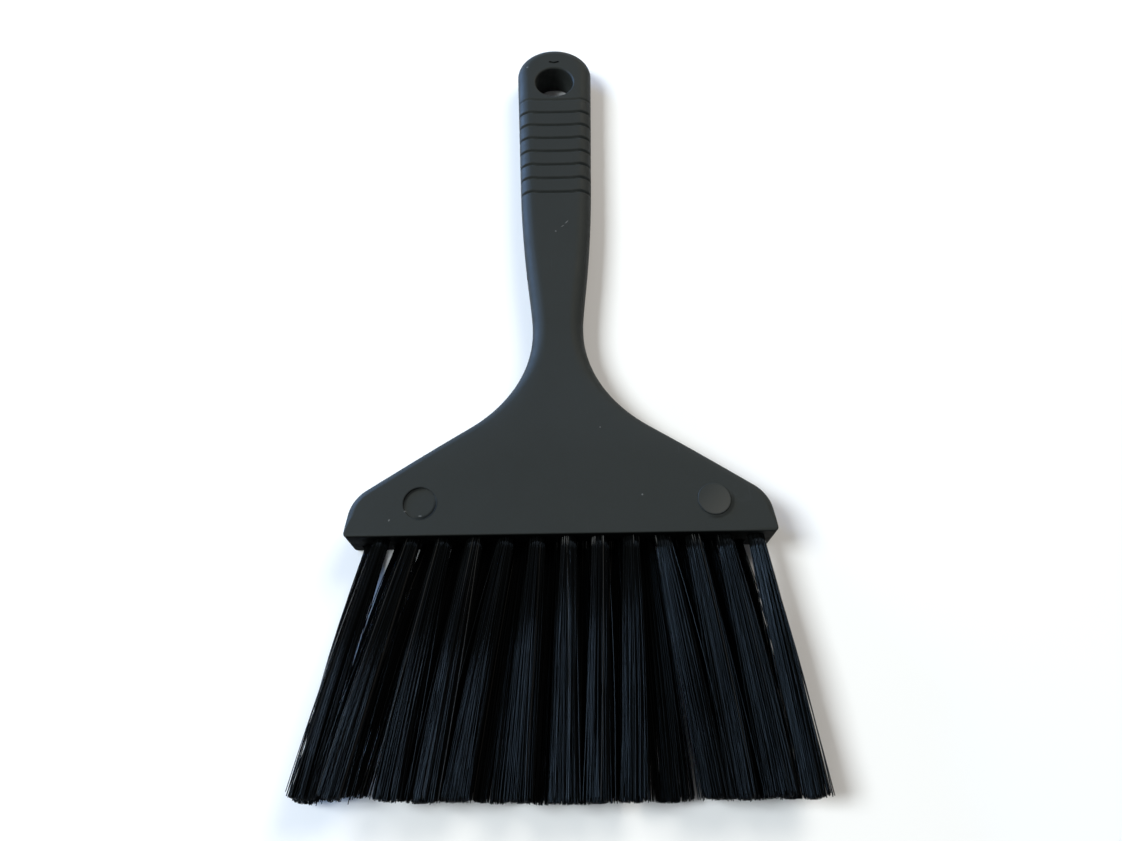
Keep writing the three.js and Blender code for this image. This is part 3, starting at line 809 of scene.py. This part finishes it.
def add_body_skin(shape):
    """The outline drawn in round both edges, ring by ring, and closed by a front and a back face."""
    right = stations()
    apex = (Vector((0, BODY_LENGTH)), Vector((0, 1)))
    mirrored = [(Vector((-p.x, p.y)), Vector((-n.x, n.y))) for p, n in reversed(right)]
    reach = right[0][0].x
    lower = [Vector((reach * (2 * i / ACROSS_STEPS - 1), 0)) for i in range(1, ACROSS_STEPS)]
    loop = right + [apex] + mirrored + [(point, Vector((0, -1))) for point in lower]

    lift = Vector((0, UNDERSIDE, 0))
    rings = [[shape.verts.new(point + lift) for point in ring] for ring in skin_rings(loop)]
    for below, above in zip(rings, rings[1:]):
        for i in range(len(loop)):
            j = (i + 1) % len(loop)
            shape.faces.new((below[i], below[j], above[j], above[i]))
    add_face(shape, rings[-1], len(right), lambda x, y: thickness(y) - groove(x, y), False)
    add_face(shape, rings[0], len(right), groove, True)


def add_face(shape, rim, count, height, is_back):
    """A flat face between the two sides of a rim, in rows from the lower edge up to the grip's end."""
    last = 2 * count
    rows = [[rim[0], *reversed(rim[last + 1:]), rim[last]]]
    for i in range(1, count):
        start, end = rim[i], rim[last - i]
        row = [start]
        for j in range(1, ACROSS_STEPS):
            point = start.co.lerp(end.co, j / ACROSS_STEPS)
            point.z = height(point.x, point.y - UNDERSIDE)
            row.append(shape.verts.new(point))
        rows.append(row + [end])
    quads = []
    for lower, upper in zip(rows, rows[1:]):
        quads += [(lower[j], upper[j], upper[j + 1], lower[j + 1]) for j in range(ACROSS_STEPS)]
    quads += [(rows[-1][j], rim[count], rows[-1][j + 1]) for j in range(ACROSS_STEPS)]
    for corners in quads:
        shape.faces.new(reversed(corners) if is_back else corners)


# Where the tufts stand

def tuft_row(places, tips, height, tight):
    """The tufts of a row: a mouth in the head's underside, a place among the tips, a reach in the mouth."""
    mouths = [Vector((x, UNDERSIDE, height)) for x in places]
    reaches = [TIGHT_ROOT_REACH if i in tight else ROOT_REACH for i in range(len(places))]
    return list(zip(mouths, tips, reaches))


def tuft_rows():
    """Both rows, with the back one turned half round the middle and its tips between the front ones."""
    middle = (len(FRONT_TIPS) - 1) / 2
    front = [(i - middle + ROW_STAGGER) * ROOT_PITCH for i in range(len(FRONT_TIPS))]
    back = [-x for x in reversed(front)]
    between = [(left + right) / 2 for left, right in zip(FRONT_TIPS, FRONT_TIPS[1:])]
    back_tips = [FRONT_TIPS[0] - END_TIP_GAP, *between]
    for i, shift in BACK_TIP_SHIFTS:
        back_tips[i] += shift
    return {
        "front": tuft_row(front, FRONT_TIPS, FRONT_ROW, ()),
        "back": tuft_row(back, back_tips, BACK_ROW, TIGHT_BACK_TUFTS),
    }


# What is cut into the body and raised on it

def quarter_round(radius, outer, inner):
    """(radius, height) pairs over a rounded rim, from the outer height to the inner one."""
    depth = inner - outer
    angles = [math.pi / 2 * i / RIM_STEPS for i in range(RIM_STEPS + 1)]
    return [(radius + abs(depth) * (1 - math.sin(a)), outer + depth * (1 - math.cos(a))) for a in angles]


def add_hang_hole(shape):
    """A cutter for the hanging hole, which rounds both of its rims."""
    rim = HANG_HOLE_RADIUS + HANG_HOLE_ROUND
    top = HANDLE_THICKNESS + CUT_THROUGH
    lower = quarter_round(HANG_HOLE_RADIUS, 0, HANG_HOLE_ROUND)
    upper = quarter_round(HANG_HOLE_RADIUS, HANDLE_THICKNESS, HANDLE_THICKNESS - HANG_HOLE_ROUND)
    profile = [(0, -CUT_THROUGH), (rim, -CUT_THROUGH), *lower, *reversed(upper), (rim, top), (0, top)]
    add_turned(shape, profile, HOLE_SIDES, Matrix.Translation((0, UNDERSIDE + HOLE_LEVEL, 0)))


def add_dash(shape):
    """A cutter for a short slot with round ends, curved like a smile, beyond the hanging hole."""
    middle = UNDERSIDE + HOLE_LEVEL + HANG_HOLE_RADIUS + DASH_SETBACK
    half = (DASH_LENGTH - DASH_WIDTH) / 2
    radius = DASH_WIDTH / 2
    spine = [half * (2 * i / DASH_STEPS - 1) for i in range(DASH_STEPS + 1)]
    bow = [middle + DASH_SAG * ((x / half) ** 2 - 0.5) for x in spine]
    ends = [math.pi * i / DASH_STEPS for i in range(1, DASH_STEPS)]
    outline = [(x, y - radius) for x, y in zip(spine, bow)]
    outline += [(half + radius * math.sin(a), bow[-1] - radius * math.cos(a)) for a in ends]
    outline += [(x, y + radius) for x, y in zip(reversed(spine), reversed(bow))]
    outline += [(-half - radius * math.sin(a), bow[0] + radius * math.cos(a)) for a in ends]
    low = HANDLE_THICKNESS - DASH_DEPTH
    high = HANDLE_THICKNESS + CUT_THROUGH
    lower = [shape.verts.new((x, y, low)) for x, y in outline]
    upper = [shape.verts.new((x, y, high)) for x, y in outline]
    shape.faces.new(reversed(lower))
    shape.faces.new(upper)
    for i in range(len(outline)):
        j = (i + 1) % len(outline)
        shape.faces.new((lower[i], lower[j], upper[j], upper[i]))


def mark_matrix(x):
    return Matrix.Translation((x, UNDERSIDE + MARK_HEIGHT, 0))


def add_sunk_mark(shape):
    """A cutter for the round mark that lies below the front face."""
    floor = HEAD_THICKNESS - MARK_STEP
    top = HEAD_THICKNESS + CUT_THROUGH
    rim = MARK_RADIUS + MARK_ROUND
    profile = [(0, floor), (MARK_RADIUS - MARK_ROUND, floor), (MARK_RADIUS, floor + MARK_ROUND)]
    profile += [(MARK_RADIUS, HEAD_THICKNESS - MARK_ROUND), (rim, HEAD_THICKNESS), (rim, top), (0, top)]
    add_turned(shape, profile, HOLE_SIDES, mark_matrix(SUNK_MARK_INSET - HEAD_WIDTH / 2))


def add_proud_mark(shape):
    """The round mark that stands above the front face."""
    low = HEAD_THICKNESS - CUT_THROUGH
    top = HEAD_THICKNESS + MARK_STEP
    profile = [(0, low), (MARK_RADIUS, low), (MARK_RADIUS, top - MARK_ROUND)]
    profile += [(MARK_RADIUS - MARK_ROUND, top), (0, top)]
    add_turned(shape, profile, HOLE_SIDES, mark_matrix(HEAD_WIDTH / 2 - PROUD_MARK_INSET))


def add_tuft_holes(shape):
    """Cutters for the blind holes in the underside, which fan out towards the ends of the head."""
    bore = [(0, -CUT_THROUGH), (TUFT_HOLE_RADIUS, -CUT_THROUGH)]
    bore += [(TUFT_HOLE_RADIUS, TUFT_HOLE_DEPTH), (0, TUFT_HOLE_DEPTH + DRILL_POINT)]
    for tufts in tuft_rows().values():
        for mouth, _, _ in tufts:
            lean = math.atan2(mouth.x * HOLE_FAN, BRISTLE_LENGTH)
            turn = Matrix.Rotation(lean, 4, "Z") @ Matrix.Rotation(-math.pi / 2, 4, "X")
            add_turned(shape, bore, TUFT_HOLE_SIDES, Matrix.Translation(mouth) @ turn)


def add_cutters(shape):
    """Everything that is taken out of the body."""
    add_hang_hole(shape)
    add_dash(shape)
    add_sunk_mark(shape)
    add_tuft_holes(shape)


def brush_body():
    """The moulded body: its skin with the holes cut, and a mask of its edges for the finish."""
    skin = mesh_from("body_skin", add_body_skin)
    tools = []
    for name, builder, operation in (
        ("raised_mark", add_proud_mark, "UNION"),
        ("cutters", add_cutters, "DIFFERENCE"),
    ):
        tool = mesh_from(name, builder)
        boolean = skin.modifiers.new(name, "BOOLEAN")
        boolean.operation = operation
        boolean.solver = "EXACT"
        boolean.object = tool
        tools.append(tool)
    body = settle(skin, "moulded_body")
    for tool in tools:
        bpy.data.objects.remove(tool)
    body.data.shade_smooth()
    body.data.set_sharp_from_angle(angle=SHARP_ANGLE)
    weights = body.modifiers.new("even_normals", "WEIGHTED_NORMAL")
    weights.keep_sharp = True
    body = settle(body, "moulded_body")
    slopes = [smoothstep(1 - abs(vertex.normal.z), *RIM_SLOPES) for vertex in body.data.vertices]
    body.data.attributes.new("rim", "FLOAT", "POINT").data.foreach_set("value", slopes)
    return body


# Tufts

TUFT_INPUTS = (
    ("Seed", "NodeSocketInt", 0),
    ("Filaments", "NodeSocketInt", FILAMENTS),
    ("Length", "NodeSocketFloat", BRISTLE_LENGTH),
    ("Bow", "NodeSocketFloat", OUTWARD_BOW),
    ("Tip Limit", "NodeSocketFloat", TIP_LIMIT),
    ("Spread Across", "NodeSocketFloat", SPREAD_ACROSS["front"]),
    ("Spread Through", "NodeSocketFloat", SPREAD_THROUGH),
    ("Splay Bend", "NodeSocketFloat", SPLAY_BEND["front"]),
    ("Clump", "NodeSocketFloat", CLUMP),
    ("Stray", "NodeSocketFloat", STRAY),
    ("Sway", "NodeSocketFloat", SWAY),
    ("Tuft Shortfall", "NodeSocketFloat", TUFT_SHORTFALL),
    ("Filament Shortfall", "NodeSocketFloat", FILAMENT_SHORTFALL),
    ("Tuft End Round", "NodeSocketFloat", TUFT_END_ROUND),
    ("Gloss", "NodeSocketFloat", ROW_GLOSS_AND_SHADE["front"]),
    ("Streaks", "NodeSocketFloat", STREAKS),
    ("Embed", "NodeSocketFloat", FILAMENT_EMBED),
    ("Root Radius", "NodeSocketFloat", FILAMENT_ROOT_RADIUS),
    ("Tip Radius", "NodeSocketFloat", FILAMENT_TIP_RADIUS),
)


class TuftTree:
    """Grows the filaments of some neighbouring tufts of one row out of their holes."""

    def __init__(self, material):
        self.tree = bpy.data.node_groups.new("tuft_field", "GeometryNodeTree")
        self.tree.interface.new_socket("Mouths", in_out="INPUT", socket_type="NodeSocketGeometry")
        self.sockets = {}
        for name, kind, value in TUFT_INPUTS:
            socket = self.tree.interface.new_socket(name, in_out="INPUT", socket_type=kind)
            socket.default_value = value
            self.sockets[name] = socket.identifier
        self.tree.interface.new_socket("Filaments", in_out="OUTPUT", socket_type="NodeSocketGeometry")
        self.inputs = self.tree.nodes.new("NodeGroupInput")
        self.draws = 0
        strands = self.bent(self.rods(self.rooted()))
        painted = self.add("GeometryNodeSetMaterial", {"Geometry": strands, "Material": material})
        feed(self.tree.nodes.new("NodeGroupOutput").inputs[0], painted.outputs[0])

    def add(self, kind, inputs=None, **settings):
        return add_node(self.tree, kind, inputs, **settings)

    def size(self, name):
        return Field(self.inputs.outputs[name])

    def vector(self, x, y, z):
        return Field(self.add("ShaderNodeCombineXYZ", {"X": x, "Y": y, "Z": z}).outputs[0])

    def parts(self, vector):
        return [Field(socket) for socket in self.add("ShaderNodeSeparateXYZ", {"Vector": vector}).outputs]

    def random(self, owner, low=-1.0, high=1.0):
        """A number drawn for each filament or tuft, from the tree's seed."""
        self.draws += 1
        node = self.add("FunctionNodeRandomValue", data_type="FLOAT")
        numbers = [socket for socket in node.inputs if socket.type == "VALUE"]
        feed(numbers[0], low)
        feed(numbers[1], high)
        feed(node.inputs["ID"], owner)
        feed(node.inputs["Seed"], self.size("Seed") + float(self.draws))
        return Field(next(socket for socket in node.outputs if socket.type == "VALUE"))

    def keep(self, points, name, value, kind="FLOAT_VECTOR"):
        """Stores a value on every point under a name."""
        inputs = {"Geometry": points, "Name": name}
        node = self.add("GeometryNodeStoreNamedAttribute", inputs, data_type=kind)
        feed(next(s for s in node.inputs if s.name == "Value" and s.enabled), value)
        return node.outputs[0]

    def kept(self, name, kind="FLOAT_VECTOR"):
        node = self.add("GeometryNodeInputNamedAttribute", {"Name": name}, data_type=kind)
        return Field(next(s for s in node.outputs if s.name == "Attribute" and s.enabled))

    def rooted(self):
        """A point for each filament, which carries what its line and its finish need."""
        points = self.planted()
        for name, value in self.line_parts().items():
            points = self.keep(points, name, value)
        points = self.keep(points, "gloss", self.gloss(), "FLOAT")
        return self.keep(points, "shade", self.random(self.number, 0.0), "FLOAT")

    def planted(self):
        """A point for each filament, and its place in its tuft, spread like the seeds of a sunflower."""
        amount = {"Geometry": self.inputs.outputs["Mouths"], "Amount": self.size("Filaments")}
        copies = self.add("GeometryNodeDuplicateElements", amount, domain="POINT")
        points = self.keep(copies.outputs["Geometry"], "step", copies.outputs["Duplicate Index"], "FLOAT")
        step = self.kept("step", "FLOAT")
        self.number = Field(self.add("GeometryNodeInputIndex").outputs[0])
        self.middle = self.parts(self.add("GeometryNodeInputPosition").outputs[0])
        self.tuft = (self.middle[0] * MILLIMETRES).function("ROUND") + TUFT_NUMBER_START
        self.reach = ((step + 0.5) / self.size("Filaments")) ** PACKING
        angle = step * GOLDEN_ANGLE + self.tuft
        self.across = self.reach * angle.function("COSINE")
        self.through = self.reach * angle.function("SINE")
        return points

    def noise(self, scale):
        """Smooth noise over the mouth of a tuft, different in each tuft."""
        spot = self.vector(self.across, self.through, self.tuft * TUFT_NOISE_STEP)
        return self.add("ShaderNodeTexNoise", {"Vector": spot, "Scale": scale, "Detail": 1.0})

    def line_parts(self):
        """The vectors that a filament's line is summed from, from its mouth to its tip."""
        middle_x, mouth_y, middle_z = self.middle
        drift = self.parts(self.noise(CLUMP_SCALE).outputs["Color"])
        clump = [(value - 0.5) * self.size("Clump") * 2.0 for value in drift[:2]]
        stray = [self.random(self.number) ** STRAY_POWER * self.size("Stray") for _ in range(2)]

        root_reach = self.kept("reach", "FLOAT")
        root_x = self.across * root_reach
        root_z = self.through * root_reach
        mouth_x = middle_x + root_x
        lean_x = self.kept("tip", "FLOAT") - middle_x + self.random(self.tuft) * self.size("Sway")
        splay_x = root_x * (self.size("Spread Across") - 1.0) + clump[0] + stray[0]
        splay_z = root_z * (self.size("Spread Through") - 1.0)
        splay_z = splay_z + clump[1] * CLUMP_THROUGH + stray[1] * STRAY_THROUGH
        straight_x = mouth_x + lean_x + splay_x
        tip_x = self.within_limit(straight_x)
        length = self.length()
        drop = (length * length - (tip_x - mouth_x) ** 2.0).function("SQRT")
        sway = self.vector(self.random(self.number), 0.0, self.random(self.number) * SWAY_THROUGH)
        return {
            "mouth": self.vector(mouth_x, mouth_y, middle_z + root_z),
            "lean": self.vector(lean_x, drop * -1.0, 0.0),
            "splay": self.vector(splay_x, 0.0, splay_z),
            "held": self.vector(tip_x - straight_x, 0.0, 0.0),
            "bow": self.vector(middle_x * self.size("Bow"), 0.0, 0.0),
            "sway": sway * self.size("Sway"),
        }

    def within_limit(self, x):
        """A tip's place across, held a little unevenly inside the limit on both sides."""
        limit = self.size("Tip Limit") - self.random(self.number, 0.0) * self.size("Filament Shortfall")
        return x.join("MINIMUM", limit).join("MAXIMUM", limit * -1.0)

    def length(self):
        """The length of a filament, less by chance and less towards the rim of its tuft."""
        short = self.random(self.tuft, 0.0) * self.size("Tuft Shortfall")
        chance = self.random(self.number, 0.0) ** SHORTFALL_POWER
        short = short + chance * self.size("Filament Shortfall")
        short = short + self.reach ** TUFT_END_POWER * self.size("Tuft End Round")
        return self.size("Length") - short

    def gloss(self):
        """The gloss of a filament, which differs in streaks across its tuft."""
        streak = Field(self.noise(STREAK_SCALE).outputs["Fac"]) - 0.5
        gloss = streak * self.size("Streaks") + MEAN_GLOSS
        return gloss.join("MAXIMUM", LEAST_GLOSS) * self.size("Gloss")

    def rods(self, points):
        """A slim rod for each filament, all upright at the origin, with the values of its point."""
        rod = self.add(
            "GeometryNodeMeshCylinder",
            {"Vertices": FILAMENT_SIDES, "Side Segments": FILAMENT_STEPS, "Radius": 1.0, "Depth": 1.0},
        )
        round_sides = {"Geometry": rod.outputs["Mesh"], "Shade Smooth": rod.outputs["Side"]}
        rounded = self.add("GeometryNodeSetShadeSmooth", round_sides).outputs[0]
        origin = {"Geometry": points, "Position": self.vector(0.0, 0.0, 0.0)}
        gathered = self.add("GeometryNodeSetPosition", origin).outputs[0]
        rods = self.add("GeometryNodeInstanceOnPoints", {"Points": gathered, "Instance": rounded})
        return self.add("GeometryNodeRealizeInstances", {"Geometry": rods.outputs[0]}).outputs[0]

    def bent(self, rods):
        """Thins the rods towards their tips and bends each one along its filament's line."""
        x, y, z = self.parts(self.add("GeometryNodeInputPosition").outputs[0])
        last = (FILAMENT_STEPS - 1) / FILAMENT_STEPS
        rung = z + 0.5
        along = (rung / last).join("MINIMUM", 1.0) * (1 - CUT_END_SHARE)
        along = along + (rung - last).join("MAXIMUM", 0.0) * (CUT_END_SHARE * FILAMENT_STEPS)
        inside = self.size("Embed") / self.size("Length")
        share = along * (inside + 1.0) - inside
        free = share.join("MAXIMUM", 0.0)
        radius = self.size("Root Radius") + (self.size("Tip Radius") - self.size("Root Radius")) * along
        line = self.kept("mouth") + self.kept("lean") * share
        line = line + self.kept("splay") * free ** self.size("Splay Bend")
        line = line + self.kept("held") * free ** HELD_BEND
        line = line + self.kept("bow") * (free - free * free)
        line = line + self.kept("sway") * (free * math.pi).function("SINE")
        rods = self.keep(rods, "along", along, "FLOAT")
        place = line + self.vector(x * radius, 0.0, y * radius)
        return self.add("GeometryNodeSetPosition", {"Geometry": rods, "Position": place}).outputs[0]

    def grow(self, name, tufts, sizes):
        """A plain mesh of the filaments of some tufts, with some of the tree's inputs set."""
        centres, tips, reaches = zip(*tufts)
        mouths = bpy.data.meshes.new(name)
        mouths.from_pydata(centres, [], [])
        for label, values in (("tip", tips), ("reach", reaches)):
            mouths.attributes.new(label, "FLOAT", "POINT").data.foreach_set("value", values)
        piece = new_object(name, mouths)
        grower = piece.modifiers.new("tufts", "NODES")
        grower.node_group = self.tree
        for label, value in sizes.items():
            grower[self.sockets[label]] = value
        return settle(piece, name)


def bristles():
    """Four pieces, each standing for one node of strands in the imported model."""
    tree = TuftTree(bristle_fibre())
    for row, tufts in tuft_rows().items():
        half = math.ceil(len(tufts) / 2)
        for side, part in (("left", tufts[:half]), ("right", tufts[half:])):
            sizes = {"Seed": ROW_SEEDS[row], "Spread Across": SPREAD_ACROSS[row]}
            # The back row's lower gloss is painted shade
            sizes |= {"Splay Bend": SPLAY_BEND[row], "Gloss": ROW_GLOSS_AND_SHADE[row]}
            piece = tree.grow(f"{row}_filaments_{side}", part, sizes)
            yield piece, f"{row}_bristles_{side}"


# Stage

def add_camera():
    data = bpy.data.cameras.new("camera")
    data.sensor_width = SENSOR_WIDTH
    data.sensor_fit = "HORIZONTAL"
    data.lens = FOCAL_PIXELS / IMAGE_WIDTH * SENSOR_WIDTH
    data.clip_start = CAMERA_NEAR
    camera = new_object("camera", data)
    place = Matrix.Translation((CAMERA_ASIDE, UNDERSIDE - CAMERA_BELOW_HEAD, CAMERA_HEIGHT))
    turn = Matrix.Rotation(CAMERA_TILT, 4, "X") @ Matrix.Rotation(CAMERA_ROLL, 4, "Z")
    camera.matrix_world = place @ turn
    bpy.context.scene.camera = camera


def add_light(name, place, target, size, power, colour):
    data = bpy.data.lights.new(name, "AREA")
    data.shape = "RECTANGLE"
    data.size, data.size_y = size
    data.energy = power
    data.color = colour
    lamp = new_object(name, data)
    aim = (Vector(target) - Vector(place)).to_track_quat("-Z", "Y")
    lamp.matrix_world = Matrix.Translation(place) @ aim.to_matrix().to_4x4()


def add_floor_grid(shape):
    bmesh.ops.create_grid(shape, x_segments=FLOOR_CELLS, y_segments=FLOOR_CELLS, size=FLOOR_SIZE / 2)
    bmesh.ops.translate(shape, verts=shape.verts, vec=(0, 0, -FLOOR_DROP))


def add_stage():
    """A pale floor, the lights and a dim even room."""
    floor = mesh_from("floor", add_floor_grid)
    floor.data.materials.append(pale_floor())

    world = bpy.data.worlds.new("studio")
    world.use_nodes = True
    background = world.node_tree.nodes["Background"]
    background.inputs["Color"].default_value = ROOM_TONE
    background.inputs["Strength"].default_value = ROOM_STRENGTH
    bpy.context.scene.world = world
    bpy.context.scene.view_settings.view_transform = "Standard"
    for light in LIGHTS:
        add_light(**light)


def main():
    body = brush_body()
    body.data.materials.clear()
    body.data.materials.append(body_plastic())
    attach(body, "root")
    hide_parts("brush_body")
    for piece, node in bristles():
        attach(piece, "root")
        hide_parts(node)
    steel = anchor_steel()
    for name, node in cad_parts.items():
        if "anchor" in name:
            for slot in node.material_slots:
                slot.material = steel
    add_stage()
    add_camera()


main()
